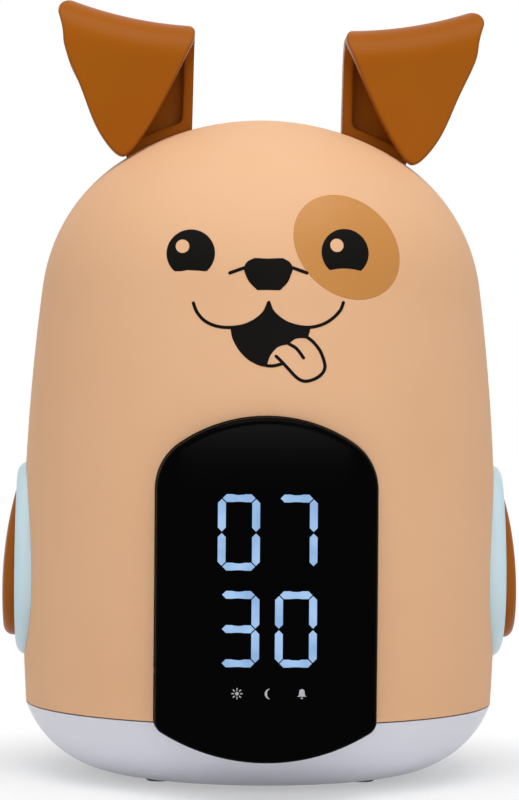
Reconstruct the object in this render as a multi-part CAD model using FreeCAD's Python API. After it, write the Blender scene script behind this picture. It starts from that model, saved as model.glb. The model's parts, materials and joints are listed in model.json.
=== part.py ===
import FreeCAD, Part
import math
import os
from FreeCAD import Vector as V

os.makedirs("parts", exist_ok=True)

# Kids alarm clock with night light, in millimetres.
# The front looks along -Y, up is +Z, and the origin is the centre of the resting plane.

# Base bowl, a translucent cup whose side is one circular arc
foot_height = 1.0
bowl_depth = 15.4
bowl_side_radius = 23.6
bowl_rim_angle = 19.6
bowl_wall = 2.0
lip_height = 3.0
lip_wall = 1.6
seam_gap = 0.25

# Dome, a chain of three tangent arcs turned round the axis
dome_radius = 55.5
dome_widest_height = 31.5
side_arc_radius = 527.0
side_arc_end = 7.19
shoulder_radius = 41.1
shoulder_end = 57.64
dome_wall = 2.4

# Display lens and its window
lens_half_width = 24.2
lens_top = 67.1
lens_bottom = -7.9
lens_crown_radius = 33.4
lens_corner_radius = 12.0
lens_chin_radius = 45.0
lens_chin_corner = 3.0
lens_front = dome_radius + 2.0
lens_face_radius = 85.0
lens_thickness = 2.0
lens_edge_round = 1.4
window_clearance = 0.3
glue_gap = 0.1
frame_wall = 1.6
flange_back = dome_radius - 14.1
flange_thickness = 1.6
flange_half_width = 28.6
flange_low = 6.5
flange_high = 67.5
board_thickness = 1.6
display_screw_half_span = 26.75
display_screw_low = 11.0
display_screw_high = 62.0

# Digits, two rows of two, seven segments each
digit_width = 9.1
digit_height = 16.5
digit_pitch = 12.5
row_pitch = 20.9
digits_centre = 31.7
segment_width = 1.7
segment_gap = 0.35
block_border = 3.0
block_front = lens_front - 4.2
segment_depth = 2.0

# Side press pads, an egg outline that ring_lean can tilt with the dome
egg_big_radius = 17.0
egg_small_radius = 12.0
egg_centres = 16.3
egg_side_radius = 36.0
egg_height = 27.6
ring_face = dome_radius + 1.4
ring_lean = 0.0
ring_depth = 9.5
ring_band = 4.2
ring_edge_round = 2.6
ring_seat_depth = 3.0
ring_cavity_band = 2.0
ring_flange_thickness = 1.5
ring_flange_reach = 2.2
pad_clearance = 0.4
pad_peak = 3.4
pad_peak_drop = 1.6
pad_face_radius = 90.0
pad_edge_round = 2.2
pad_skirt_wall = 1.6
pad_roof_height = -1.3
pad_flange_thickness = 1.1
pad_travel = 0.8
pad_stem_radius = 3.0

# Rear panel with speaker grille, push buttons and the USB inlet
rear_half_width = 24.0
rear_bottom = 8.0
rear_crown_radius = 40.0
rear_corner_radius = 14.0
rear_chin_radius = 600.0
rear_chin_corner = 4.0
rear_gap = 0.25
ledge_reach = 3.5
ledge_thickness = 2.2
speaker_height = 60.0
rear_top = speaker_height + 27.0
speaker_radius = 17.0
speaker_front = dome_radius - 6.1
speaker_rim_thickness = 1.5
speaker_depth = 13.0
collar_wall = 1.4
clamp_boss_radius = 1.9
clamp_reach = 2.6
clamp_thickness = 0.8
board_post_radius = 2.0
basket_radius = 10.0
basket_wall = 1.0
magnet_radius = 9.0
cone_neck = 4.0
cone_depth = 3.6
grille_radius = 13.0
grille_slot = 1.6
grille_pitch = 3.4
rear_button_radius = 3.4
rear_button_proud = 2.0
button_clearance = 0.2
button_edge_round = 0.5
button_flange_reach = 1.0
button_flange_thickness = 1.0
button_stem_radius = 1.6
rear_button_travel = 0.4
rear_button_pitch = 11.0
rear_upper_row = 32.5
rear_lower_row = 22.0
rear_collar_end = dome_radius - 6.6
main_board_back = dome_radius - 13.9
main_board_half_width = 21.0
main_board_low = 10.0
main_board_high = 38.5
usb_height = 13.8
usb_width = 8.9
usb_mouth = 3.2
usb_wall = 0.35
usb_mouth_gap = 0.6
usb_inset = 0.8
usb_mouth_depth = 6.5
usb_tongue_half_width = 3.3
usb_tongue_thickness = 0.7
controller_size = 10.0
controller_thickness = 1.6
controller_rise = 5.0

# Small switches and screws
switch_size = 6.0
switch_body = 3.5
plunger_radius = 1.7
plunger_height = 1.0
plunger_clearance = 0.1
switch_well = 1.8
screw_radius = 1.1
screw_head_radius = 2.1
screw_head_height = 1.4
screw_length = 5.0
boss_radius = 2.5
hole_clearance = 0.1
stem_clearance = 0.05
rest_gap = 0.3

# Chassis plate, night light board and bottom cover
chassis_thickness = 1.6
chassis_boss_circle = dome_radius - 10.5
chassis_boss_height = 14.0
chassis_boss_angle = 42.0
light_board_inner = dome_radius - 22.0
light_board_outer = dome_radius - 14.5
light_board_drop = 1.5
peg_shoulder_radius = 2.0
peg_radius = 1.2
peg_cap = 0.7
peg_angle = 16.2
peg_middle_angle = 75.2
light_board_front = 24.0
chip_length = 3.5
chip_width = 2.8
chip_height = 0.8
chips_start = -28.0
chips_sweep = 236.0
light_chip_count = 9
cover_radius = 34.0
cover_thickness = 3.0
cover_step = 1.6
cell_radius = 5.25
cell_length = 44.5
cell_clearance = 0.25
contact_space = 2.2
contact_sheet = 0.4
tub_wall = 1.4
door_thickness = 1.6
door_gap = 0.25
door_tab_reach = 1.6
door_tab_width = 6.0
foot_radius = 2.8
foot_x = 23.3
foot_y = 19.6
bottom_screw_x = 28.0
bottom_screw_y = 8.0

# Folded ears
ear_inner = 17.7
ear_outer = 49.5
ear_top_inner = 158.0
ear_top_sweep_radius = 95.0
ear_top_start = 1.2
ear_turn = 1.1
ear_corner_radius = 2.2
ear_tip_radius = 3.0
ear_tip_low = 126.5
ear_thickness = 4.2
ear_flap_front = 12.5
ear_stem_thickness = 6.0
ear_pocket_depth = 3.6
ear_rim = 2.3
ear_peg_radius = 2.2
ear_tip_slope = 17.0
ear_side_lean = 71.0
ear_sweep_angle = 25
ear_flap_gap = 0.6
ear_seat_gap = 0.05
ear_peg_inner = 22.4
ear_peg_pitch = 7.2
ear_boss_radius = 3.4
ear_boss_drop = 2.0
ear_boss_gap = 0.4
ear_peg_root = 1.5
ear_peg_clearance = 0.15

# Lengths for cutting tools, longer than anything they cut
cut_length = 200.0
core_front = 30.0
core_back = 20.0
panel_reach = 30.0

seam = foot_height + bowl_depth
axis_z = V(0, 0, 1)
front = V(0, -1, 0)
back = V(0, 1, 0)


def point(angle, radius, centre):
    """A point at an angle in degrees on a circle in the X-Z plane."""
    a = math.radians(angle)
    return V(centre[0] + radius * math.cos(a), 0, centre[1] + radius * math.sin(a))


def arc(centre, radius, start, end):
    """A circular arc in the X-Z plane between two angles in degrees."""
    middle = (start + end) / 2
    return Part.Arc(point(start, radius, centre), point(middle, radius, centre),
                    point(end, radius, centre)).toShape()


def line(a, b):
    return Part.LineSegment(a, b).toShape()


def turn(edges):
    """A solid of revolution round the vertical axis from edges that form one loop."""
    face = Part.Face(Part.Wire(edges))
    return face.revolve(V(0, 0, 0), axis_z, 360)


def dome_arcs(offset):
    """Centres, radii and end angles of the dome's arcs, with the surface moved inwards by offset."""
    side = (dome_radius - side_arc_radius, seam + dome_widest_height)
    a = math.radians(side_arc_end)
    step = side_arc_radius - shoulder_radius
    shoulder = (side[0] + step * math.cos(a), side[1] + step * math.sin(a))
    b = math.radians(shoulder_end)
    crown_radius = shoulder_radius + shoulder[0] / math.cos(b)
    crown = (0, shoulder[1] - shoulder[0] * math.tan(b))
    return ((side, side_arc_radius - offset, side_arc_end),
            (shoulder, shoulder_radius - offset, shoulder_end),
            (crown, crown_radius - offset, 90.0))


def dome_reach(height, offset=0.0):
    """The dome's radius at a height above the seam."""
    z = seam + height
    previous = -90.0
    for centre, radius, end in dome_arcs(offset):
        a = math.degrees(math.asin(max(-1.0, min(1.0, (z - centre[1]) / radius))))
        if a <= end:
            return centre[0] + radius * math.cos(math.radians(max(a, previous)))
        previous = end
    return 0.0


def dome_level(reach, offset=0.0):
    """The height z of the dome's upper surface at a distance from the axis."""
    for centre, radius, end in reversed(dome_arcs(offset)):
        c = (reach - centre[0]) / radius
        if 0 <= c <= 1 and math.degrees(math.acos(c)) <= end + 1e-6:
            level = centre[1] + radius * math.sin(math.acos(c))
    return level


def dome_solid(offset, low):
    """Everything inside the dome's surface, from height low (above the seam) up."""
    arcs = dome_arcs(offset)
    z = seam + low
    start = math.degrees(math.asin((z - arcs[0][0][1]) / arcs[0][1]))
    edges = []
    for centre, radius, end in arcs:
        edges.append(arc(centre, radius, start, end))
        start = end
    foot = edges[0].Vertexes[0].Point
    top = edges[-1].Vertexes[1].Point
    edges.append(line(top, V(0, 0, z)))
    edges.append(line(V(0, 0, z), foot))
    return turn(edges)


def bowl_solid(offset):
    """Everything inside the bowl's surface, up to the seam."""
    rim = dome_reach(0.0)
    a = math.radians(bowl_rim_angle)
    centre = (rim - bowl_side_radius * math.cos(a), seam + bowl_side_radius * math.sin(a))
    radius = bowl_side_radius - offset
    floor = foot_height + offset
    low = math.degrees(math.asin((floor - centre[1]) / radius))
    high = math.degrees(math.asin((seam - centre[1]) / radius))
    side = arc(centre, radius, low, high)
    a, b = side.Vertexes[0].Point, side.Vertexes[1].Point
    return turn([side, line(b, V(0, 0, seam)), line(V(0, 0, seam), V(0, 0, floor)),
                 line(V(0, 0, floor), a)])


def arch_outline(half_width, top, bottom, crown, corner, chin, chin_corner, grow):
    """A closed arch: crown, two corners, straight sides, curved chin. It faces along Y."""
    crown_centre = (0, seam + top - crown)
    side = half_width - corner
    corner_z = crown_centre[1] + math.sqrt((crown - corner) ** 2 - side ** 2)
    chin_centre = (0, seam + bottom + chin)
    low_side = half_width - chin_corner
    chin_z = chin_centre[1] - math.sqrt((chin - chin_corner) ** 2 - low_side ** 2)
    crown_angle = math.degrees(math.atan2(corner_z - crown_centre[1], side))
    chin_angle = math.degrees(math.atan2(chin_z - chin_centre[1], low_side))
    crown_arc = arc(crown_centre, crown + grow, crown_angle, 180 - crown_angle)
    right = arc((side, corner_z), corner + grow, 0, crown_angle)
    left = arc((-side, corner_z), corner + grow, 180 - crown_angle, 180)
    low_left = arc((-low_side, chin_z), chin_corner + grow, 180, 180 - chin_angle)
    chin_arc = arc(chin_centre, chin + grow, 180 - chin_angle, 360 + chin_angle)
    low_right = arc((low_side, chin_z), chin_corner + grow, chin_angle, 0)
    left_side = line(V(-half_width - grow, 0, corner_z), V(-half_width - grow, 0, chin_z))
    right_side = line(V(half_width + grow, 0, chin_z), V(half_width + grow, 0, corner_z))
    return Part.Wire([right, crown_arc, left, left_side, low_left, chin_arc, low_right,
                      right_side])


def lens_prism(grow, near, far):
    """The lens outline, grown, as a block between two distances in front of the axis."""
    wire = arch_outline(lens_half_width, lens_top, lens_bottom, lens_crown_radius,
                        lens_corner_radius, lens_chin_radius, lens_chin_corner, grow)
    face = Part.Face(wire)
    face.translate(V(0, -near, 0))
    return face.extrude(V(0, near - far, 0))


def rear_prism(grow, near, far):
    """The rear panel's outline, grown, as a block between two distances behind the axis."""
    wire = arch_outline(rear_half_width, rear_top, rear_bottom, rear_crown_radius,
                        rear_corner_radius, rear_chin_radius, rear_chin_corner, grow)
    face = Part.Face(wire)
    face.translate(V(0, near, 0))
    return face.extrude(V(0, far - near, 0))


def egg_prism(grow, low, high):
    """An egg-shaped block in its own frame: X across, Y up, Z outwards."""
    big = egg_big_radius
    small = egg_small_radius
    d = egg_centres
    big_reach = egg_side_radius - big
    small_reach = egg_side_radius - small
    b = (big_reach ** 2 - small_reach ** 2 + d ** 2) / (2 * d)
    a = math.sqrt(big_reach ** 2 - b ** 2)

    def rim(cx, cy, radius, angle):
        return V(cx + radius * math.cos(angle), cy + radius * math.sin(angle), low)

    low_angle = math.atan2(-b, a)
    high_angle = math.atan2(d - b, a)
    right = Part.Arc(rim(-a, b, egg_side_radius + grow, low_angle),
                     rim(-a, b, egg_side_radius + grow, (low_angle + high_angle) / 2),
                     rim(-a, b, egg_side_radius + grow, high_angle)).toShape()
    top = Part.Arc(rim(0, d, small + grow, high_angle), rim(0, d, small + grow, math.pi / 2),
                   rim(0, d, small + grow, math.pi - high_angle)).toShape()
    left = Part.Arc(rim(a, b, egg_side_radius + grow, math.pi - high_angle),
                    rim(a, b, egg_side_radius + grow, math.pi - (low_angle + high_angle) / 2),
                    rim(a, b, egg_side_radius + grow, math.pi - low_angle)).toShape()
    bottom = Part.Arc(rim(0, 0, big + grow, math.pi - low_angle),
                      rim(0, 0, big + grow, 1.5 * math.pi),
                      rim(0, 0, big + grow, 2 * math.pi + low_angle)).toShape()
    face = Part.Face(Part.Wire([right, top, left, bottom]))
    return face.extrude(V(0, 0, high - low))


def cylinder(radius, start, direction, length):
    return Part.makeCylinder(radius, length, start, direction)


def block(x0, x1, y0, y1, z0, z1):
    """A box from its lowest and highest corners."""
    return Part.makeBox(x1 - x0, y1 - y0, z1 - z0, V(x0, y0, z0))


def joined(first, *others):
    """One solid from several that touch or overlap."""
    return first.multiFuse(list(others)).removeSplitter()


def mirrored(shape):
    return shape.mirror(V(0, 0, 0), V(1, 0, 0))


def side_placed(shape):
    """Moves a piece from the egg's own frame to the right side of the dome."""
    lean = math.radians(ring_lean)
    matrix = FreeCAD.Matrix()
    matrix.A11, matrix.A12, matrix.A13 = 0, -math.sin(lean), math.cos(lean)
    matrix.A21, matrix.A22, matrix.A23 = 1, 0, 0
    matrix.A31, matrix.A32, matrix.A33 = 0, math.cos(lean), math.sin(lean)
    matrix.A14, matrix.A24, matrix.A34 = ring_face, 0, seam + egg_height
    return placed(shape, matrix)


def placed(shape, matrix):
    copy = shape.copy()
    copy.Placement = FreeCAD.Placement(matrix).multiply(shape.Placement)
    return copy


def save(name, shape):
    """Writes one node and says how many solids it holds."""
    shape.exportStep("parts/" + name + ".step")
    print(name, "solids", len(shape.Solids), "valid", shape.isValid())


def group(pieces):
    return Part.makeCompound(pieces)


def screw(seat, direction, length=screw_length):
    """A pan-head screw: the head's flat sits at seat, and the shank points along direction."""
    head = cylinder(screw_head_radius, seat, direction * -1, screw_head_height)
    shank = cylinder(screw_radius, seat, direction, length)
    return joined(head, shank)


def corner_points(radius, angles):
    """Points on a circle round the axis, at angles in degrees."""
    return [V(radius * math.cos(math.radians(a)), radius * math.sin(math.radians(a)), 0)
            for a in angles]


chassis_low = seam + lip_height
chassis_high = chassis_low + chassis_thickness
chassis_spots = corner_points(chassis_boss_circle, [side + turn_by * chassis_boss_angle
                                                    for side in (0, 180) for turn_by in (1, -1)])
display_screw_spots = [V(x, -flange_back, seam + h)
                       for x in (-display_screw_half_span, display_screw_half_span)
                       for h in (display_screw_low, display_screw_high)]
ledge_screw_inset = 4.6
rear_screw_spots = [V(x * (rear_half_width - ledge_screw_inset), 0, seam + h)
                    for x in (-1, 1)
                    for h in (rear_bottom + ledge_screw_inset,
                              rear_top - rear_corner_radius - ledge_screw_inset)]
ring_screw_spots = [(0, egg_centres + egg_small_radius + 4.0),
                    (-15.4, -13.6), (15.4, -13.6)]
ring_back = -ring_depth - ring_flange_thickness
ear_pegs = [V(x, ear_stem_thickness / 2, 0)
            for x in (ear_peg_inner, ear_peg_inner + ear_peg_pitch)]


def ear_boss_level(peg):
    """The flat under the dome's roof that an ear screw bears on."""
    reach = math.hypot(peg.x, peg.y)
    return dome_level(reach + ear_boss_radius, dome_wall) - ear_boss_drop


def body_shell():
    """The dome: an even wall, an arched front window, side holes and a rear opening."""
    inside = dome_solid(dome_wall, seam_gap - 1.0)
    shell = dome_solid(0.0, seam_gap).cut(inside)

    additions = []
    for spot in chassis_spots:
        post = cylinder(boss_radius + 0.7, V(spot.x, spot.y, chassis_high), axis_z,
                        chassis_boss_height)
        web = block(0, dome_radius - chassis_boss_circle, -1.0, 1.0, chassis_high,
                    chassis_high + chassis_boss_height)
        web.rotate(V(0, 0, 0), axis_z, math.degrees(math.atan2(spot.y, spot.x)))
        web.translate(V(spot.x, spot.y, 0))
        additions += [post, web]
    for spot in display_screw_spots:
        additions.append(cylinder(boss_radius, V(spot.x, -flange_back - flange_thickness, spot.z),
                                  front, dome_radius))
    for right in (True, False):
        for w, v in ring_screw_spots:
            boss = side_placed(cylinder(boss_radius, V(w, v, -ring_depth), axis_z, dome_radius))
            additions.append(boss if right else mirrored(boss))
    for peg in ear_pegs:
        low = ear_boss_level(peg)
        boss = cylinder(ear_boss_radius, V(peg.x, peg.y, low), axis_z, dome_radius)
        additions += [boss, mirrored(boss)]
    ledge = dome_solid(dome_wall - 0.6, seam_gap).cut(dome_solid(dome_wall + ledge_thickness, -1.0))
    ledge = ledge.common(rear_prism(2.5, core_back, 2 * dome_radius))
    additions.append(ledge)
    for spot in rear_screw_spots:
        additions.append(cylinder(boss_radius, spot + back * (dome_radius - 12.0), back,
                                  dome_radius))
    within = dome_solid(0.5 * dome_wall, seam_gap)
    additions = [piece.common(within) for piece in additions]
    shell = joined(shell, *additions)

    shell = shell.cut(lens_prism(window_clearance, flange_back + flange_thickness + 0.5,
                                 2 * dome_radius))
    shell = shell.cut(rear_prism(-ledge_reach, core_back, 2 * dome_radius))
    recess = dome_solid(0.0 - 1.0, seam_gap).cut(dome_solid(dome_wall + glue_gap, -1.0))
    shell = shell.cut(recess.common(rear_prism(0.0, core_back, 2 * dome_radius)))
    hole = side_placed(egg_prism(window_clearance, -ring_depth, core_front))
    shell = shell.cut(group([hole, mirrored(hole)]))

    holes = []
    for spot in chassis_spots:
        holes.append(cylinder(screw_radius, V(spot.x, spot.y, chassis_high - 1), axis_z,
                              screw_length + 1))
    for spot in display_screw_spots:
        holes.append(cylinder(screw_radius, spot, front, screw_length))
    for w, v in ring_screw_spots:
        hole = side_placed(cylinder(screw_radius, V(w, v, ring_back), axis_z, screw_length + 0.2))
        holes += [hole, mirrored(hole)]
    for spot in rear_screw_spots:
        holes.append(cylinder(screw_radius, spot + back * 40.0, back, 40.0))
    for peg in ear_pegs:
        hole = cylinder(ear_peg_radius + ear_peg_clearance, V(peg.x, peg.y, seam), axis_z, cut_length)
        holes += [hole, mirrored(hole)]
    return shell.cut(group(holes))


def base_bowl():
    """The translucent bowl, with a lip inside the dome and a stepped opening in its floor."""
    inside = bowl_solid(bowl_wall)
    bowl = bowl_solid(0.0).cut(inside)
    outer = dome_reach(0.0) - dome_wall - seam_gap
    inner = outer - lip_wall
    corners = [V(inner, 0, seam - lip_height), V(inner, 0, seam + lip_height),
               V(outer, 0, seam + lip_height), V(outer, 0, seam),
               V(outer + 0.9, 0, seam), V(outer + 0.9, 0, seam - lip_height)]
    lip = turn([line(a, b) for a, b in zip(corners, corners[1:] + corners[:1])])
    bowl = joined(bowl, lip)
    bowl = bowl.cut(cylinder(cover_radius + seam_gap, V(0, 0, 0), axis_z,
                             foot_height + cover_step))
    opening = cylinder(cover_radius - 2.0, V(0, 0, 0), axis_z, foot_height + bowl_depth)
    bowl = bowl.cut(opening)
    return bowl.cut(lens_prism(window_clearance, core_front, 2 * dome_radius))


def display_lens():
    """The glossy lens, bowed in plan, with rounded front edges."""
    axis_y = lens_face_radius - lens_front
    blank = lens_prism(0.0, core_front, lens_front + 2)
    outer = cylinder(lens_face_radius, V(0, axis_y, 0), axis_z, cut_length)
    inner = cylinder(lens_face_radius - lens_thickness, V(0, axis_y, 0), axis_z, cut_length)
    lens = blank.common(outer).cut(inner)
    rim = []
    for edge in lens.Edges:
        middle = edge.valueAt((edge.FirstParameter + edge.LastParameter) / 2)
        reach = math.hypot(middle.x, middle.y - axis_y)
        end = edge.Vertexes[0].Point
        if abs(reach - lens_face_radius) < 1e-3 and \
                abs(math.hypot(end.x, end.y - axis_y) - lens_face_radius) < 1e-3:
            rim.append(edge)
    return lens.makeFillet(lens_edge_round, rim)


def display_frame():
    """The tray behind the lens, with a flange screwed to the dome from inside."""
    axis_y = lens_face_radius - lens_front
    inner = cylinder(lens_face_radius - lens_thickness - glue_gap, V(0, axis_y, 0), axis_z, cut_length)
    near = flange_back + flange_thickness
    tray = lens_prism(0.0, near - 0.2, lens_front).common(inner)
    tray = tray.cut(lens_prism(-frame_wall, near - 1.0, lens_front + 1.0))
    chin = lens_prism(0.0, near - flange_thickness, near).common(
        block(-dome_radius, dome_radius, -dome_radius, 0, 0, seam + flange_low + 1.0))
    flange = block(-flange_half_width, flange_half_width, -near, -flange_back,
                   seam + flange_low, seam + flange_high)
    opening = lens_prism(-frame_wall, flange_back - 1.0, near + 1.0)
    opening = opening.common(block(-dome_radius, dome_radius, -dome_radius, 0,
                                   seam + flange_low + 1.0, seam + 2 * lens_top))
    frame = joined(tray, chin, flange).cut(opening)
    holes = [cylinder(screw_radius + hole_clearance, spot + back, front, 4.0)
             for spot in display_screw_spots]
    return frame.cut(group(holes))


def digit_places():
    """The centres of the four digits in the X-Z plane."""
    return [V(x * digit_pitch / 2, 0, seam + digits_centre + z * row_pitch / 2)
            for z in (1, -1) for x in (-1, 1)]


def segment_outline(length, width):
    """A six-sided bar along X in the X-Z plane."""
    half = length / 2
    w = width / 2
    corners = [V(-half, 0, 0), V(-half + w, 0, w), V(half - w, 0, w), V(half, 0, 0),
               V(half - w, 0, -w), V(-half + w, 0, -w)]
    return Part.Face(Part.makePolygon(corners + corners[:1]))


def digit_bars(grow, near, far):
    """The seven bars of each digit as solids."""
    width = segment_width + 2 * grow
    across = digit_width - segment_width - segment_gap + 2 * grow
    upright = (digit_height - segment_width) / 2 - segment_gap + 2 * grow
    dx = (digit_width - segment_width) / 2
    dz = (digit_height - segment_width) / 2
    bars = []
    for centre in digit_places():
        for z in (-dz, 0, dz):
            bar = segment_outline(across, width)
            bar.translate(centre + V(0, 0, z))
            bars.append(bar)
        for x in (-dx, dx):
            for z in (-dz / 2, dz / 2):
                bar = segment_outline(upright, width)
                bar.rotate(V(0, 0, 0), V(0, 1, 0), 90)
                bar.translate(centre + V(x, 0, z))
                bars.append(bar)
    for bar in bars:
        bar.translate(V(0, -near, 0))
    return [bar.extrude(V(0, near - far, 0)) for bar in bars]


def digit_block():
    """The white block of light wells that stands on the display board."""
    half = digit_pitch / 2 + digit_width / 2 + block_border
    high = row_pitch / 2 + digit_height / 2 + block_border
    z = seam + digits_centre
    body = block(-half, half, -block_front, -flange_back, z - high, z + high)
    return body.cut(group(digit_bars(stem_clearance, block_front - segment_depth - stem_clearance,
                                      block_front + 1)))


def display_board():
    """The board behind the display, held by the same four screws as the flange."""
    body = block(-flange_half_width, flange_half_width, -flange_back,
                 -flange_back + board_thickness, seam + flange_low + 1, seam + flange_high)
    holes = [cylinder(screw_radius + hole_clearance, spot + back * 3, front, 4.0)
             for spot in display_screw_spots]
    return body.cut(group(holes))


def side_ring():
    """The pale ring round a press pad: face, cavity, inner flange and three screw ears."""
    ring = egg_prism(0.0, -ring_depth, 0.0)
    rim = [edge for edge in ring.Edges if all(abs(v.Z) < 1e-6 for v in edge.Vertexes)]
    ring = ring.makeFillet(ring_edge_round, rim)
    flange = egg_prism(ring_flange_reach, ring_back, -ring_depth)
    ears = [cylinder(boss_radius, V(w, v, ring_back), axis_z, ring_flange_thickness)
            for w, v in ring_screw_spots]
    ring = joined(ring, flange, *ears)
    ring = ring.cut(egg_prism(-ring_band, -ring_depth, 1.0))
    ring = ring.cut(egg_prism(-ring_cavity_band, ring_back - 1.0, -ring_seat_depth))
    holes = [cylinder(screw_radius + hole_clearance, V(w, v, ring_back - 1), axis_z, 4.0)
             for w, v in ring_screw_spots]
    holes += [cylinder(screw_radius, V(s * egg_big_radius, pad_switch_centre[1], ring_back),
                       axis_z, 1.1) for s in (-1, 1)]
    return ring.cut(group(holes))


pad_flange_top = -ring_seat_depth - rest_gap
pad_switch_centre = (0, egg_centres / 2 - 2.0)
side_plunger_top = ring_back + switch_body + plunger_height


def side_button():
    """The domed press pad: a hollow cap with a retaining flange and a stem for its switch."""
    grow = -ring_band - pad_clearance
    cap = egg_prism(grow, pad_flange_top, pad_peak + 1.0)
    ball = Part.makeSphere(pad_face_radius, V(0, -pad_peak_drop, pad_peak - pad_face_radius))
    cap = cap.common(ball)
    rim = [edge for edge in cap.Edges
           if all(v.Z > pad_flange_top + 1.0 for v in edge.Vertexes)
           and len(cap.ancestorsOfType(edge, Part.Face)) == 2
           and not edge.isSeam(cap.Faces[0])]
    cap = cap.makeFillet(pad_edge_round, rim)
    flange = egg_prism(-ring_cavity_band - pad_clearance,
                       pad_flange_top - pad_flange_thickness, pad_flange_top)
    cap = joined(cap, flange)
    hollow = egg_prism(grow - pad_skirt_wall, pad_flange_top - 3.0, pad_roof_height)
    cap = cap.cut(hollow)
    x, y = pad_switch_centre
    low = side_plunger_top + 0.05
    stem = cylinder(pad_stem_radius, V(x, y, low), axis_z, pad_roof_height + 0.5 - low)
    return joined(cap, stem)


def switch_case(centre, seat, direction):
    """A small square switch body with a round well for its plunger."""
    half = switch_size / 2
    body = Part.makeBox(switch_size, switch_size, switch_body, V(-half, -half, 0))
    well = cylinder(plunger_radius + plunger_clearance, V(0, 0, switch_body - switch_well),
                    axis_z, switch_body)
    body = body.cut(well)
    body.Placement = FreeCAD.Placement(centre + direction * seat,
                                       FreeCAD.Rotation(axis_z, direction))
    return body


def switch_plunger(centre, seat, direction, travel):
    """The round plunger that a button's stem rests on."""
    low = seat + switch_body - switch_well + travel + 0.1
    high = seat + switch_body + plunger_height
    return cylinder(plunger_radius, centre + direction * low, direction, high - low)


def side_board():
    """The strip of board across the ring's back that carries the pad's switch."""
    x, y = pad_switch_centre
    half = egg_big_radius + 1.6
    strip = Part.makeBox(2 * half, switch_size + 6.0, board_thickness,
                         V(-half, y - switch_size / 2 - 3.0, ring_back - board_thickness))
    holes = [cylinder(screw_radius + hole_clearance, V(s * (half - 1.6), y, ring_back - 3), axis_z, 4.0)
             for s in (-1, 1)]
    return strip.cut(group(holes))


def rear_panel():
    """The rear panel: a piece of the dome's own skin with collars, posts and a grille."""
    skin = dome_solid(0.0, seam_gap).cut(dome_solid(dome_wall, -1.0))
    panel = skin.common(rear_prism(-rear_gap, core_back, 2 * dome_radius))
    centre = V(0, 0, seam + speaker_height)
    rim_back = speaker_front - speaker_rim_thickness
    additions = []
    collar = cylinder(speaker_radius + rest_gap + collar_wall, centre + back * rim_back, back,
                      panel_reach)
    collar = collar.cut(cylinder(speaker_radius + rest_gap, centre + back * rim_back, back,
                                 speaker_rim_thickness + 0.05))
    collar = collar.cut(cylinder(speaker_radius - 1.8, centre + back * rim_back, back, panel_reach))
    additions.append(collar)
    for spot in clamp_spots:
        additions.append(cylinder(clamp_boss_radius, spot + back * rim_back, back, panel_reach))
    for x, h in rear_button_spots:
        additions.append(cylinder(rear_button_radius + collar_wall, V(x, rear_collar_end, seam + h),
                                  back, panel_reach))
    for spot in main_board_spots:
        additions.append(cylinder(board_post_radius, spot, back, panel_reach))
    within = dome_solid(0.5 * dome_wall, seam_gap)
    panel = joined(panel, *[piece.common(within) for piece in additions])

    holes = []
    for x, h in rear_button_spots:
        holes.append(cylinder(rear_button_radius + button_clearance, V(x, panel_reach, seam + h),
                              back, cut_length))
    holes.append(rounded_slot(usb_width + usb_mouth_gap, usb_mouth + usb_mouth_gap, seam + usb_height,
                              panel_reach, cut_length))
    rows = int(grille_radius / grille_pitch)
    for i in range(-rows, rows + 1):
        z = i * grille_pitch
        width = 2 * math.sqrt(grille_radius ** 2 - z ** 2)
        holes.append(rounded_slot(width, grille_slot, seam + speaker_height + z, panel_reach,
                                  cut_length))
    for spot in rear_screw_spots:
        holes.append(cylinder(screw_radius + hole_clearance, spot + back * panel_reach, back, cut_length))
        seat = rear_screw_seat(spot)
        holes.append(cylinder(screw_head_radius + 0.2, V(spot.x, seat, spot.z), back, cut_length))
    for spot in clamp_spots:
        holes.append(cylinder(screw_radius, spot + back * (rim_back - 1), back, 3.5))
    for spot in main_board_spots:
        holes.append(cylinder(screw_radius, spot - back, back, screw_length))
    return panel.cut(group(holes))


def rounded_slot(width, height, z, near, far):
    """A slot with round ends, centred on X = 0, cut along Y."""
    half = (width - height) / 2
    r = height / 2
    face = Part.Face(Part.Wire([
        line(V(-half, near, z - r), V(half, near, z - r)),
        Part.Arc(V(half, near, z - r), V(half + r, near, z), V(half, near, z + r)).toShape(),
        line(V(half, near, z + r), V(-half, near, z + r)),
        Part.Arc(V(-half, near, z + r), V(-half - r, near, z), V(-half, near, z - r)).toShape()]))
    return face.extrude(V(0, far - near, 0))


def skin_depth(x, z, offset=0.0):
    """The distance behind the axis of the dome's skin at a place on the rear."""
    return math.sqrt(dome_reach(z - seam, offset) ** 2 - x ** 2)


def rear_screw_seat(spot):
    """How deep a rear panel screw's head sits."""
    edge = abs(spot.x) + screw_head_radius
    return skin_depth(edge, spot.z) - 0.9


speaker_centre = V(0, 0, seam + speaker_height)
clamp_circle = speaker_radius + rest_gap + clamp_reach
clamp_spots = [speaker_centre + V(clamp_circle * math.cos(math.radians(a)), 0,
                                  clamp_circle * math.sin(math.radians(a)))
               for a in (90, 210, 330)]
rear_button_spots = [(-rear_button_pitch, rear_upper_row), (0, rear_upper_row),
                     (rear_button_pitch, rear_upper_row),
                     (-rear_button_pitch * 0.65, rear_lower_row),
                     (rear_button_pitch * 0.65, rear_lower_row)]
main_board_spots = [V(x * reach, main_board_back, seam + h) for x in (-1, 1)
                    for reach, h in ((13.6, main_board_low + 4.0), (17.6, main_board_high - 2.6))]


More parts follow.
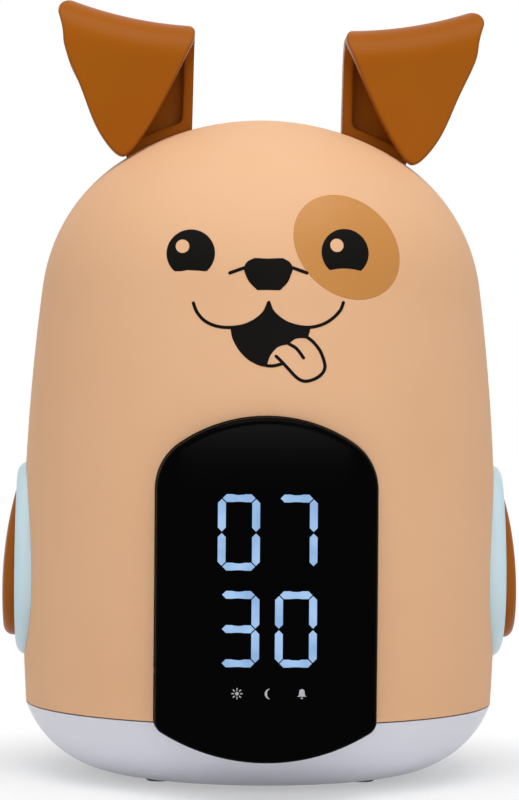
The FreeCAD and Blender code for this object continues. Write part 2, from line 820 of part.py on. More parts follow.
def rear_button(x, h):
    """A round push button with a flange behind the collar and a stem to its switch."""
    top = skin_depth(x, seam + h) + rear_button_proud
    flange_top = rear_collar_end - rest_gap
    stem_end = main_board_back + switch_body + plunger_height + stem_clearance
    z = seam + h
    cap = cylinder(rear_button_radius, V(x, flange_top - 0.5, z), back, top - flange_top + 0.5)
    rim = [edge for edge in cap.Edges if all(v.Y > top - 1e-6 for v in edge.Vertexes)]
    cap = cap.makeFillet(button_edge_round, rim)
    flange = cylinder(rear_button_radius + button_flange_reach,
                      V(x, flange_top - button_flange_thickness, z), back,
                      button_flange_thickness)
    stem = cylinder(button_stem_radius, V(x, stem_end, z), back, flange_top - stem_end)
    return joined(cap, flange, stem)


def main_board():
    body = block(-main_board_half_width, main_board_half_width,
                 main_board_back - board_thickness, main_board_back,
                 seam + main_board_low, seam + main_board_high)
    holes = [cylinder(screw_radius + hole_clearance, spot - back * 4, back, 8) for spot in main_board_spots]
    return body.cut(group(holes))


def controller_chip():
    half = controller_size / 2
    face = main_board_back - board_thickness
    low = seam + main_board_low + controller_rise
    return block(-half, half, face - controller_thickness, face, low, low + controller_size)


def usb_socket():
    """The inlet's metal shell with its tongue, standing on the main board."""
    far = skin_depth(usb_width / 2, seam + usb_height) - usb_inset
    z = seam + usb_height
    shell = rounded_slot(usb_width, usb_mouth, z, main_board_back, far)
    mouth = rounded_slot(usb_width - 2 * usb_wall, usb_mouth - 2 * usb_wall, z,
                         far - usb_mouth_depth, far + 1)
    half = usb_tongue_thickness / 2
    tongue = block(-usb_tongue_half_width, usb_tongue_half_width, far - usb_mouth_depth - 0.5,
                   far - 1.0, z - half, z + half)
    return joined(shell.cut(mouth), tongue)


def speaker_frame():
    """The speaker's rim and its conical basket."""
    rim_back = speaker_front - speaker_rim_thickness
    basket_back = speaker_front - speaker_depth * 0.55
    rim = cylinder(speaker_radius, speaker_centre + back * rim_back, back, speaker_rim_thickness)
    basket = Part.makeCone(basket_radius, speaker_radius - 1.8, rim_back - basket_back,
                           speaker_centre + back * basket_back, back)
    hollow = Part.makeCone(basket_radius - basket_wall, speaker_radius - 2.8, rim_back - basket_back + 0.02,
                           speaker_centre + back * (basket_back + basket_wall), back)
    mouth = cylinder(speaker_radius - 2.8, speaker_centre + back * (rim_back + 0.5), back, 5.0)
    return joined(rim, basket).cut(group([hollow, mouth]))


def speaker_cone():
    """The paper cone with its dust cap."""
    rim_back = speaker_front - speaker_rim_thickness
    outer = speaker_radius - 3.4
    cone = Part.makeCone(cone_neck, outer, cone_depth, speaker_centre + back * (rim_back - 2.9), back)
    dish = Part.makeCone(cone_neck, outer, cone_depth, speaker_centre + back * (rim_back - 2.4), back)
    cap = Part.makeSphere(5.2, speaker_centre + back * (rim_back - 5.4))
    cap = cap.common(cylinder(5.0, speaker_centre + back * (rim_back - 2.9), back, 6))
    return joined(cone.cut(dish), cap)


def speaker_magnet():
    far = speaker_front - speaker_depth * 0.55
    near = speaker_front - speaker_depth
    return cylinder(magnet_radius, speaker_centre + back * near, back, far - near)


def speaker_clamp(spot):
    """A small washer plate that holds the speaker's rim to its boss."""
    rim_back = speaker_front - speaker_rim_thickness
    plate = cylinder(3.0, spot + back * (rim_back - clamp_thickness), back, clamp_thickness)
    return plate.cut(cylinder(screw_radius + hole_clearance, spot + back * (rim_back - 2), back, 4))


def chassis_plate():
    """The plate between dome and bowl, with posts for the bottom screws."""
    reach = dome_reach(0.0) - dome_wall - 2 * rest_gap
    plate = cylinder(reach, V(0, 0, chassis_low), axis_z, chassis_thickness)
    plate = plate.cut(block(-lens_half_width - 1.5, lens_half_width + 1.5, -dome_radius,
                            -flange_back + rest_gap, 0, seam + chassis_boss_height))
    posts = []
    for spot in bottom_spots:
        posts.append(cylinder(boss_radius + 0.4, V(spot.x, spot.y, foot_height + cover_thickness),
                              axis_z, chassis_low - foot_height - cover_thickness + 0.5))
    for spot in light_board_pegs:
        low = chassis_low - light_board_drop
        posts.append(cylinder(peg_shoulder_radius, V(spot.x, spot.y, low), axis_z,
                              light_board_drop + 0.5))
        posts.append(cylinder(peg_radius, V(spot.x, spot.y, low - board_thickness - peg_cap), axis_z,
                              4.0))
        posts.append(cylinder(peg_shoulder_radius, V(spot.x, spot.y, low - board_thickness - peg_cap),
                              axis_z, peg_cap))
    plate = joined(plate, *posts)
    holes = [cylinder(screw_radius, V(spot.x, spot.y, foot_height), axis_z, 10.0)
             for spot in bottom_spots]
    holes += [cylinder(screw_radius + hole_clearance, V(spot.x, spot.y, chassis_low - 1), axis_z, 4.0)
              for spot in chassis_spots]
    return plate.cut(group(holes))


peg_circle = (light_board_inner + light_board_outer) / 2
light_board_pegs = corner_points(peg_circle, (peg_angle, peg_middle_angle, 180 - peg_angle))
bottom_spots = [V(x * bottom_screw_x, y * bottom_screw_y, 0) for x in (-1, 1) for y in (-1, 1)]


def light_board():
    """The C-shaped board under the chassis that carries the night light's chips."""
    low = chassis_low - light_board_drop - board_thickness
    ring = cylinder(light_board_outer, V(0, 0, low), axis_z, board_thickness)
    ring = ring.cut(cylinder(light_board_inner, V(0, 0, low - 1), axis_z, 10))
    ring = ring.cut(block(-dome_radius, dome_radius, -dome_radius, -light_board_front,
                          low - 1, low + 5))
    holes = [cylinder(peg_radius + stem_clearance, V(spot.x, spot.y, low - 1), axis_z, 5)
             for spot in light_board_pegs]
    return ring.cut(group(holes))


def light_chips():
    """Small white light chips, evenly spaced under the board."""
    top = chassis_low - light_board_drop - board_thickness
    middle = (light_board_inner + light_board_outer) / 2
    chips = []
    for i in range(light_chip_count):
        angle = chips_start + chips_sweep / (light_chip_count - 1) * i
        chip = block(-chip_length / 2, chip_length / 2, -chip_width / 2, chip_width / 2,
                     top - chip_height, top)
        chip.rotate(V(0, 0, 0), axis_z, 90)
        chip.translate(V(middle, 0, 0))
        chip.rotate(V(0, 0, 0), axis_z, angle)
        chips.append(chip)
    return group(chips)


cavity_half_width = 3 * cell_radius + 2 * cell_clearance
cavity_half_length = cell_length / 2 + contact_space
door_half_width = cavity_half_width + tub_wall
door_half_length = cavity_half_length + tub_wall
door_top = foot_height + door_thickness
cell_level = door_top + rest_gap + cell_radius
cavity_top = cell_level + cell_radius + rest_gap
hinge_level = foot_height + door_thickness / 2
hinge_y = door_half_length - door_thickness / 2
tab_places = (-9.0, 9.0)
cell_places = [i * (2 * cell_radius + cell_clearance) for i in (-1, 0, 1)]
foot_spots = [V(x * foot_x, y * foot_y, 0) for x in (-1, 1) for y in (-1, 1)]
foot_sink = 0.5


def rounded_block(half_x, half_y, z0, z1, radius, hinge_radius=None):
    """An upright block with rounded corners; the corners at the hinge end may differ."""
    body = block(-half_x, half_x, -half_y, half_y, z0, z1)
    for end, r in ((-1, radius), (1, radius if hinge_radius is None else hinge_radius)):
        corners = [edge for edge in body.Edges
                   if abs(edge.Vertexes[0].Z - edge.Vertexes[1].Z) > z1 - z0 - 1e-6
                   and abs(edge.Vertexes[0].Y - end * half_y) < 1e-6
                   and abs(abs(edge.Vertexes[0].X) - half_x) < 1e-6]
        if r:
            body = body.makeFillet(r, corners)
    return body


def bottom_cover():
    """The round bottom plate with the battery tub, the door's recess and seats for the feet."""
    plate = cylinder(cover_radius, V(0, 0, foot_height), axis_z, cover_step)
    inner = cylinder(cover_radius - 2.0 - seam_gap, V(0, 0, foot_height), axis_z, cover_thickness)
    tub = rounded_block(door_half_width, door_half_length, foot_height + 1.0,
                        cavity_top + tub_wall, 2.0)
    cover = joined(plate, inner, tub)
    cover = cover.cut(rounded_block(cavity_half_width, cavity_half_length, 0, cavity_top, 0.8))
    cover = cover.cut(rounded_block(door_half_width + door_gap, door_half_length + door_gap,
                                    0, door_top + 0.1, 2.0, 0.7))
    edge = door_half_length
    half = door_tab_width / 2 + 0.3
    cuts = []
    for x in tab_places:
        cuts.append(block(x - half, x + half, edge - 1, edge + door_tab_reach / 2, 0, door_top))
        sweep = math.hypot(door_tab_reach + door_thickness / 2, door_thickness / 2) + 0.25
        pocket = cylinder(sweep, V(x - half, hinge_y, hinge_level), V(1, 0, 0), 2 * half)
        cuts.append(pocket.common(block(x - half, x + half, hinge_y - 1.1, edge + cover_radius,
                                        hinge_level - 0.1, hinge_level + cover_radius)))
    cuts.append(cylinder(5.0, V(0, -edge, 0), axis_z, door_top + 0.1))
    for spot in bottom_spots:
        cuts.append(cylinder(screw_radius + hole_clearance, spot, axis_z, 10.0))
        cuts.append(cylinder(screw_head_radius + 0.3, spot, axis_z,
                             foot_height + screw_head_height + 0.2))
    for spot in foot_spots:
        cuts.append(cylinder(foot_radius + 0.1, spot, axis_z, foot_height + foot_sink))
    return cover.cut(group(cuts))


def battery_door():
    """The door: a plate with two hinge tabs, grip ribs and a thumb tongue."""
    plate = rounded_block(door_half_width, door_half_length, foot_height, door_top, 1.8, 0)
    edge = door_half_length
    end = [e for e in plate.Edges if all(abs(v.Y - edge) < 1e-6 for v in e.Vertexes)
           and abs(e.Vertexes[0].Z - e.Vertexes[1].Z) < 1e-6]
    plate = plate.makeFillet(door_thickness / 2 - 0.02, end)
    tabs = [block(x - door_tab_width / 2, x + door_tab_width / 2, edge - 3,
                  edge + door_tab_reach, hinge_level, door_top) for x in tab_places]
    tongue = block(-3.2, 3.2, -edge - 2.2, -edge + 3, foot_height, hinge_level)
    door = joined(plate, tongue, *tabs)
    grooves = [block(-7, 7, -edge + 3 + 2 * i, -edge + 4 + 2 * i, foot_height - 1,
                     foot_height + 0.4) for i in range(5)]
    return door.cut(group(grooves))


def aaa_cells():
    """Three cells side by side, the middle one the other way round."""
    cells = []
    for i, x in enumerate(cell_places):
        along = back if i % 2 == 0 else front
        start = V(x, 0, cell_level) - along * (cell_length / 2)
        can = cylinder(cell_radius, start, along, cell_length - 1.2)
        rims = [edge for edge in can.Edges if abs(edge.Length - 2 * math.pi * cell_radius) < 1e-3]
        can = can.makeFillet(0.6, rims)
        nub = cylinder(1.9, start, along, cell_length)
        cells.append(joined(can, nub))
    return group(cells)


def contact_ends():
    """For each cell: its place across and the direction of its raised end."""
    return [(x, 1 if i % 2 == 0 else -1) for i, x in enumerate(cell_places)]


def plate_contacts():
    """Stamped plates that meet the raised ends of the cells."""
    pieces = []
    for x, sign in contact_ends():
        wall = sign * cavity_half_length
        near = sign * (cell_length / 2 + 0.05)
        plate = block(x - 4, x + 4, min(wall, wall - sign * 0.4), max(wall, wall - sign * 0.4),
                      cell_level - 4, cell_level + 4)
        dome = cylinder(2.4, V(x, wall, cell_level), V(0, -sign, 0), abs(wall - near))
        pieces.append(joined(plate, dome))
    return group(pieces)


def spring_contacts():
    """Leaf springs that press on the flat ends of the cells: a foot, a bend and a lip."""
    pieces = []
    t = contact_sheet
    for x, sign in contact_ends():
        wall = -sign * cavity_half_length
        tip = -sign * (cell_length / 2 + 0.05)
        low, high = cell_level - 4.0, cell_level + 4.0
        outline = [V(x - 3, wall, low), V(x - 3, wall, high), V(x - 3, wall + sign * t, high),
                   V(x - 3, wall + sign * t, low + 2 * t),
                   V(x - 3, tip - sign * t, cell_level - 1), V(x - 3, tip - sign * t, high - 2),
                   V(x - 3, tip, high - 2), V(x - 3, tip, cell_level - 1 - t),
                   V(x - 3, wall + sign * t, low)]
        face = Part.Face(Part.makePolygon(outline + outline[:1]))
        pieces.append(face.extrude(V(6, 0, 0)))
    return group(pieces)


def rubber_feet():
    feet = []
    for spot in foot_spots:
        foot = cylinder(foot_radius, spot, axis_z, foot_height + foot_sink)
        low = [edge for edge in foot.Edges if all(v.Z < 1e-6 for v in edge.Vertexes)]
        feet.append(foot.makeFillet(0.4, low))
    return group(feet)


def ear_crest(x):
    """The height above the seam of the ear's top line, a circular arc in front view."""
    a = math.radians(ear_top_start)
    run = x - ear_inner + ear_top_sweep_radius * math.sin(a)
    return (ear_top_inner + ear_top_sweep_radius * math.cos(a)
            - math.sqrt(ear_top_sweep_radius ** 2 - run ** 2))


def ear_point(x, height):
    return V(x, 0, seam + height)


def ear_fold():
    """The fold: a band bent over in side view and swept up along the arc of its top line."""
    a = math.radians(ear_top_start)
    x = ear_inner - ear_top_sweep_radius * math.sin(a)
    pivot = seam + ear_top_inner + ear_top_sweep_radius * math.cos(a)
    top = pivot - ear_top_sweep_radius
    gap = ear_flap_front - ear_thickness
    bend = (ear_stem_thickness + ear_flap_front) / 2
    inner_top = top - ear_thickness
    low = seam + dome_widest_height + dome_radius

    def at(y, z):
        return V(x, y, z)

    band = Part.Face(Part.Wire([
        line(at(ear_stem_thickness, low), at(ear_stem_thickness, top - bend)),
        Part.Arc(at(ear_stem_thickness, top - bend), at(ear_stem_thickness - bend, top),
                 at(-ear_flap_front, top - bend)).toShape(),
        line(at(-ear_flap_front, top - bend), at(-ear_flap_front, low)),
        line(at(-ear_flap_front, low), at(-gap, low)),
        line(at(-gap, low), at(-gap, inner_top - gap / 2)),
        Part.Arc(at(-gap, inner_top - gap / 2), at(-gap / 2, inner_top),
                 at(0, inner_top - gap / 2)).toShape(),
        line(at(0, inner_top - gap / 2), at(0, low)),
        line(at(0, low), at(ear_stem_thickness, low))]))
    return band.revolve(V(x, 0, pivot), front, ear_sweep_angle)


def ear_side_curve(points, start_way):
    """A smooth curve through points, ending at the outer tip along the ear's outer side."""
    curve = Part.BSplineCurve()
    lean = math.radians(ear_side_lean)
    curve.interpolate(Points=points, InitialTangent=start_way,
                      FinalTangent=V(math.cos(lean), 0, math.sin(lean)))
    return curve.toShape()


def ear_outline(lower_edges, tip_start):
    """A front-view outline, open to above: rounded inner corner, given lower edges, rounded tip."""
    corner = ear_corner_radius
    bend = corner * (1 - math.sqrt(0.5))
    crest = ear_crest(ear_inner + corner)
    corner_top = ear_point(ear_inner + corner, crest)
    corner_mid = ear_point(ear_inner + bend, crest - bend)
    corner_low = ear_point(ear_inner, crest - corner)
    tip_centre = ear_tip_centre()
    tip_mid = tip_centre + V(1, 0, 1) * (ear_tip_radius * math.sqrt(0.5))
    tip_x = tip_centre.x - ear_tip_radius * math.sin(math.radians(ear_tip_slope))
    tip_top = ear_point(tip_x, ear_crest(tip_x))
    high = ear_crest(tip_x) + ear_flap_front
    sky_in = ear_point(ear_inner + corner, high)
    sky_out = ear_point(tip_x, high)
    edges = [line(sky_in, corner_top), Part.Arc(corner_top, corner_mid, corner_low).toShape()]
    edges += lower_edges
    edges += [Part.Arc(tip_start, tip_mid, tip_top).toShape(), line(tip_top, sky_out),
              line(sky_out, sky_in)]
    return Part.Face(Part.Wire(edges))


def ear_tip_centre():
    """The centre of the outer tip's round, set in from the outer side and the top line."""
    x = ear_outer - ear_tip_radius
    slope = math.radians(ear_tip_slope)
    tip_x = x - ear_tip_radius * math.sin(slope)
    return ear_point(x, ear_crest(tip_x) - ear_tip_radius * math.cos(slope))


def ear_turned(shape, turn_angle):
    """A shape turned about the centre of the dome's crown, clockwise seen from the front."""
    crown = dome_arcs(0.0)[2][0]
    shape.rotate(V(0, 0, crown[1]), back, turn_angle)
    return shape


def folded_ear(turn_angle):
    """A folded ear on the right: the hanging flap, the stem with its pocket, pegs and screw holes."""
    fold = ear_fold()
    lean = math.radians(ear_side_lean)
    tip_start = ear_tip_centre() + V(math.sin(lean), 0, -math.cos(lean)) * ear_tip_radius
    corner_low = ear_point(ear_inner, ear_crest(ear_inner + ear_corner_radius) - ear_corner_radius)
    down = V(0, 0, -1)
    p = ear_point
    flap_curve = ear_side_curve(
        [corner_low, p(18.6, 152.5), p(22.4, 144.2), p(30.0, 130.0), p(33.8, ear_tip_low),
         p(37.5, 129.3), p(44.0, 142.5), p(48.0, 152.3), tip_start], down)
    stem_low = p(ear_inner, dome_widest_height + dome_radius + 30.0)
    stem_out = p(ear_outer - 21.5, dome_widest_height + dome_radius + 25.0)
    stem_curve = ear_side_curve([stem_out, p(34.8, 131.0), p(43.4, 142.8), p(48.0, 152.3), tip_start],
                                V(math.cos(lean), 0, math.sin(lean)))
    flap = ear_outline([flap_curve], tip_start)
    stem = ear_outline([line(corner_low, stem_low), line(stem_low, stem_out), stem_curve], tip_start)
    gap = ear_flap_front - ear_thickness
    flap.translate(front * (gap / 2))
    stem.translate(front * (gap / 2))
    reach = 2 * (ear_flap_front + ear_stem_thickness)
    flap_part = ear_turned(fold.common(flap.extrude(front * reach)), turn_angle)
    stem_part = ear_turned(fold.common(stem.extrude(back * reach)), turn_angle)
    flap_part = flap_part.cut(dome_solid(-ear_flap_gap, 0.0))
    stem_part = stem_part.cut(dome_solid(-ear_seat_gap, 0.0))
    pocket_side = ear_inner + ear_rim
    pocket = Part.Face(Part.Wire([
        line(p(pocket_side, 152.0), p(pocket_side, 137.4)),
        Part.Arc(p(pocket_side, 137.4), p(20.6, 135.8), p(22.2, 135.0)).toShape(),
        line(p(22.2, 135.0), p(31.0, 131.2)),
        line(p(31.0, 131.2), p(38.5, 152.0)),
        line(p(38.5, 152.0), p(pocket_side, 152.0))]))
    pocket.translate(front)
    pocket = ear_turned(pocket.extrude(back * (1 + ear_pocket_depth)), turn_angle)
    pegs = []
    for peg in ear_pegs:
        low = ear_boss_level(peg) + ear_boss_gap
        roof = dome_level(math.hypot(peg.x, peg.y)) + ear_peg_root
        pegs.append(cylinder(ear_peg_radius, V(peg.x, peg.y, low), axis_z, roof - low))
    ear = joined(joined(flap_part, stem_part).cut(pocket), *pegs)
    holes = [cylinder(screw_radius, V(peg.x, peg.y, seam), axis_z,
                      ear_boss_level(peg) - seam + screw_length) for peg in ear_pegs]
    return ear.cut(group(holes))


def all_screws():
    """Every group of like screws, by node name."""
    display = [screw(V(s.x, -flange_back + board_thickness, s.z), front)
               for s in display_screw_spots]
    rear = [screw(V(s.x, rear_screw_seat(s), s.z), front, 6.0) for s in rear_screw_spots]
    ring = []
    for w, v in ring_screw_spots:
        one = side_placed(screw(V(w, v, ring_back), axis_z))
        ring += [one, mirrored(one)]
    for s in (-1, 1):
        x, y = pad_switch_centre
        one = side_placed(screw(V(s * egg_big_radius, y, ring_back - board_thickness),
                                axis_z, board_thickness + 1.0))
        ring += [one, mirrored(one)]
    rim_back = speaker_front - speaker_rim_thickness
    clamps = [screw(s + back * (rim_back - clamp_thickness), back, 3.0) for s in clamp_spots]
    boards = [screw(s - back * board_thickness, back, screw_length) for s in main_board_spots]
    chassis = [screw(V(s.x, s.y, chassis_low), axis_z) for s in chassis_spots]
    bottom = [screw(V(s.x, s.y, foot_height + screw_head_height + 0.2), axis_z, 8.0)
              for s in bottom_spots]
    ears = []
    for peg in ear_pegs:
        one = screw(V(peg.x, peg.y, ear_boss_level(peg)), axis_z)
        ears += [one, mirrored(one)]
    return {"display_screws": display, "rear_panel_screws": rear, "side_ring_screws": ring,
            "speaker_screws": clamps, "main_board_screws": boards, "chassis_screws": chassis,
            "bottom_screws": bottom, "ear_screws": ears}


save("body_shell", body_shell())
save("base_bowl", base_bowl())
save("display_lens", display_lens())
save("display_frame", display_frame())
save("digit_block", digit_block())
save("digit_segments", group(digit_bars(0.0, block_front - segment_depth, block_front)))
save("display_board", display_board())

x, y = pad_switch_centre
side_pieces = {
    "side_ring": side_ring(), "side_button": side_button(), "side_board": side_board(),
    "side_switch": switch_case(V(x, y, 0), ring_back, axis_z),
    "side_plunger": switch_plunger(V(x, y, 0), ring_back, axis_z, pad_travel)}
for name, piece in side_pieces.items():
    right = side_placed(piece)
    save(name + "_right", right)
    save(name + "_left", mirrored(right))

save("rear_panel", rear_panel())
cases = []
for i, (x, h) in enumerate(rear_button_spots):
    spot = V(x, 0, seam + h)
    save("rear_button_%d" % (i + 1), rear_button(x, h))
    cases.append(switch_case(spot, main_board_back, back))
    save("rear_plunger_%d" % (i + 1),
         switch_plunger(spot, main_board_back, back, rear_button_travel))
save("rear_switches", group(cases))
save("main_board", main_board())
save("controller_chip", controller_chip())
save("usb_socket", usb_socket())
save("speaker_frame", speaker_frame())
save("speaker_cone", speaker_cone())
save("speaker_magnet", speaker_magnet())
save("speaker_clamps", group([speaker_clamp(spot) for spot in clamp_spots]))

save("chassis_plate", chassis_plate())
save("light_board", light_board())
save("light_chips", light_chips())
save("bottom_cover", bottom_cover())
save("battery_door", battery_door())
save("aaa_cells", aaa_cells())
save("plate_contacts", plate_contacts())
save("spring_contacts", spring_contacts())
save("rubber_feet", rubber_feet())

save("ear_right", folded_ear(ear_turn))
save("ear_left", mirrored(folded_ear(-ear_turn)))
for name, pieces in all_screws().items():
    save(name, group(pieces))
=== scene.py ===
# %% [markdown]
# Kids' alarm clock with night light.
# The construction comes as a fixed frame of named bodies and nodes, in metres.
# This script gives every part its finish and adds what is printed, lit or too fine to be a part.

# %% Load the frame
import json
import math

import bmesh
import bpy
from mathutils import Matrix, Vector
from mathutils.geometry import delaunay_2d_cdt


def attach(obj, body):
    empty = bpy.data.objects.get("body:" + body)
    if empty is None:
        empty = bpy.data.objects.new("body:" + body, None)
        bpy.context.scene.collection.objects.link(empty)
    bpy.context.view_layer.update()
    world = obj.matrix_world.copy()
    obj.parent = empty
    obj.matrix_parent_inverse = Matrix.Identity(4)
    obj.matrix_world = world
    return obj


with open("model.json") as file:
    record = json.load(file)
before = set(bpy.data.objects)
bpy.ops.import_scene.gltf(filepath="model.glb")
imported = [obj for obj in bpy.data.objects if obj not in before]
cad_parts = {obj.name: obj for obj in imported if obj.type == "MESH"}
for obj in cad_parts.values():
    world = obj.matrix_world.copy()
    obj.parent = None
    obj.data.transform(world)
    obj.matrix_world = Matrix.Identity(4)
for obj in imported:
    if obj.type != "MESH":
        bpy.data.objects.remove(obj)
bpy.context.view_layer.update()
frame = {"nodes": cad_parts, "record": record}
MM = 0.001
scene = bpy.context.scene

# %% [markdown]
# The camera stands level with the upper third of the dome, a little to the left of the axis.
# A long lens from two thirds of a metre keeps the sides nearly upright, as in a catalogue shot.
# The lens is worked out from the scale in millimetres per pixel at the axis, not guessed.

# %% Camera
AXIS_DISTANCE = 0.680
EYE_HEIGHT = 0.0872
TURN = math.radians(1.85)
ROLL = math.radians(0.45)
PIXELS_PER_MM = 4.237
LONG_SIDE_PX = 800
camera_data = bpy.data.cameras.new("camera")
camera_data.sensor_width = 36.0
camera_data.lens = camera_data.sensor_width * PIXELS_PER_MM * AXIS_DISTANCE / MM / LONG_SIDE_PX
camera_data.shift_x = -0.8 / LONG_SIDE_PX
camera_data.clip_end = 20.0
camera = bpy.data.objects.new("camera", camera_data)
scene.collection.objects.link(camera)
camera.location = (-AXIS_DISTANCE * math.sin(TURN), -AXIS_DISTANCE * math.cos(TURN), EYE_HEIGHT)
level = Matrix.Rotation(-TURN, 4, "Z") @ Matrix.Rotation(math.radians(90), 4, "X")
camera.matrix_world = Matrix.Translation(camera.location) @ level @ Matrix.Rotation(ROLL, 4, "Z")
scene.camera = camera
print("lens", round(camera_data.lens, 2), "mm")

# %% [markdown]
# Three small helpers carry all the finishes.
# One turns a screen colour into the linear numbers that the shader works in.
# One adds any shader node with its settings and links, so each finish reads as a recipe.
# The last starts a material whose single surface shader takes the plain values.


# %% Colour and node helpers
def linear(hex_colour):
    """Linear red, green, blue and alpha from an sRGB hex string."""
    parts = [int(hex_colour[i:i + 2], 16) / 255 for i in (1, 3, 5)]
    return [c / 12.92 if c <= 0.04045 else ((c + 0.055) / 1.055) ** 2.4 for c in parts] + [1.0]


def add_node(tree, kind, settings=None, links=None):
    """Adds a node; settings fill attributes or sockets, links join its inputs to outputs."""
    made = tree.nodes.new(kind)
    for key, value in (settings or {}).items():
        if key in made.inputs:
            made.inputs[key].default_value = value
        else:
            setattr(made, key, value)
    for key, source in (links or {}).items():
        tree.links.new(source, made.inputs[key])
    return made


def new_finish(name, settings):
    """A material with one surface shader; the shader's own sockets hold its plain values."""
    material = bpy.data.materials.new(name)
    material.use_nodes = True
    shader = material.node_tree.nodes["Principled BSDF"]
    for key, value in settings.items():
        shader.inputs[key].default_value = value
    return material, material.node_tree, shader


# %% [markdown]
# Moulded plastic is never one flat colour: pigment drifts a little over a large part.
# Its edges are never knife sharp either, so the shading rounds them by the radius given.
# The mould's surface is spark eroded, which leaves a fine even grain that softens reflections.
# The real grain is about 0.1 mm, too fine to show, so it is drawn at the size given for each part.

# %% Moulded plastic
CLOUD_SIZE, CLOUD_LOW, CLOUD_HIGH = 0.035, 0.35, 0.65
EDGE_SAMPLES = 6


def moulded(name, colour, drift, roughness, grain_mm, grain_depth_mm, extra=None, edge_mm=0.2):
    """ABS or a like plastic: slow colour drift between two hex values, fine grain, soft edges."""
    settings = {"Roughness": roughness, "IOR": 1.53}
    settings.update(extra or {})
    material, tree, shader = new_finish(name, settings)
    place = add_node(tree, "ShaderNodeTexCoord")
    cloud = add_node(tree, "ShaderNodeTexNoise", {"Scale": 1 / CLOUD_SIZE, "Detail": 2.0},
                     {"Vector": place.outputs["Object"]})
    tint = add_node(tree, "ShaderNodeValToRGB", {}, {"Fac": cloud.outputs["Fac"]})
    tint.color_ramp.elements[0].position = CLOUD_LOW
    tint.color_ramp.elements[1].position = CLOUD_HIGH
    tint.color_ramp.elements[0].color = linear(colour)
    tint.color_ramp.elements[1].color = linear(drift)
    tree.links.new(tint.outputs["Color"], shader.inputs["Base Color"])
    grain = add_node(tree, "ShaderNodeTexNoise", {"Scale": 1 / (grain_mm * MM), "Detail": 3.0},
                     {"Vector": place.outputs["Object"]})
    edge = add_node(tree, "ShaderNodeBevel", {"samples": EDGE_SAMPLES, "Radius": edge_mm * MM})
    bump = add_node(tree, "ShaderNodeBump",
                    {"Strength": 1.0, "Distance": grain_depth_mm * MM},
                    {"Height": grain.outputs["Fac"], "Normal": edge.outputs["Normal"]})
    tree.links.new(bump.outputs["Normal"], shader.inputs["Normal"])
    return material


peach_abs = moulded("peach_spark_eroded_abs", "#E9B78C", "#E7B488", 0.66, 0.5, 0.012,
                    {"Specular IOR Level": 0.35})
ear_abs = moulded("brown_semi_gloss_abs", "#A45A0A", "#A05608", 0.34, 0.8, 0.003,
                  {"Specular IOR Level": 0.06}, 1.2)
pad_abs = moulded("brown_pad_abs", "#9F560C", "#98510A", 0.36, 0.8, 0.003,
                  {"Specular IOR Level": 0.12}, 0.5)
ring_abs = moulded("pale_blue_satin_abs", "#CDE6EF", "#C9E2EB", 0.40, 0.5, 0.006,
                   {"Specular IOR Level": 0.3}, 0.5)
button_abs = moulded("pale_blue_button_abs", "#BFD3DC", "#B9CED8", 0.42, 0.5, 0.005)
cover_abs = moulded("white_textured_abs", "#DADADD", "#D4D4D8", 0.55, 0.5, 0.02)
black_abs = moulded("black_moulded_abs", "#141415", "#101011", 0.5, 0.5, 0.01)
switch_ivory = moulded("ivory_nylon", "#D8D0B8", "#D2CAB2", 0.45, 0.5, 0.004)
foot_rubber = moulded("grey_silicone_rubber", "#7A7A7D", "#747477", 0.8, 0.6, 0.02)
print("moulded plastics", 9)

# %% [markdown]
# The base bowl is a cooler white than its cover, and its lower half sits in its own shade.
# The real bowl is a semi-gloss ABS that picks up a soft band of light just under the seam.

# %% Bowl, metals and the rest
bowl_abs = moulded("white_satin_abs", "#E3E4ED", "#DFE0E9", 0.34, 0.5, 0.004,
                   {"Specular IOR Level": 0.3})


def metal(name, colour, roughness, scratch_mm, scratch_depth_mm):
    """Plated or rolled metal with fine marks that break up the highlights."""
    material, tree, shader = new_finish(
        name, {"Base Color": linear(colour), "Metallic": 1.0, "Roughness": roughness})
    place = add_node(tree, "ShaderNodeTexCoord")
    marks = add_node(tree, "ShaderNodeTexNoise", {"Scale": 1 / (scratch_mm * MM), "Detail": 4.0},
                     {"Vector": place.outputs["Object"]})
    bump = add_node(tree, "ShaderNodeBump",
                    {"Strength": 1.0, "Distance": scratch_depth_mm * MM},
                    {"Height": marks.outputs["Fac"]})
    tree.links.new(bump.outputs["Normal"], shader.inputs["Normal"])
    return material


nickel = metal("nickel_plated_steel", "#C9C6BF", 0.28, 0.6, 0.003)
zinc = metal("zinc_plated_screw_steel", "#B9BCC2", 0.35, 0.4, 0.004)
ferrite = metal("ferrite_magnet", "#3A3A3D", 0.6, 0.3, 0.01)
print("metals", 3)

# %% [markdown]
# The display window is smoked acrylic: almost black when the room is bright, mirror smooth.
# From outside only the lit segments come through, so the window is drawn as deep gloss black.
# Its reflection is kept weak, so that the white room around it doesn't turn it grey.
# The light of the segments varies a little, as it does behind a real diffuser.

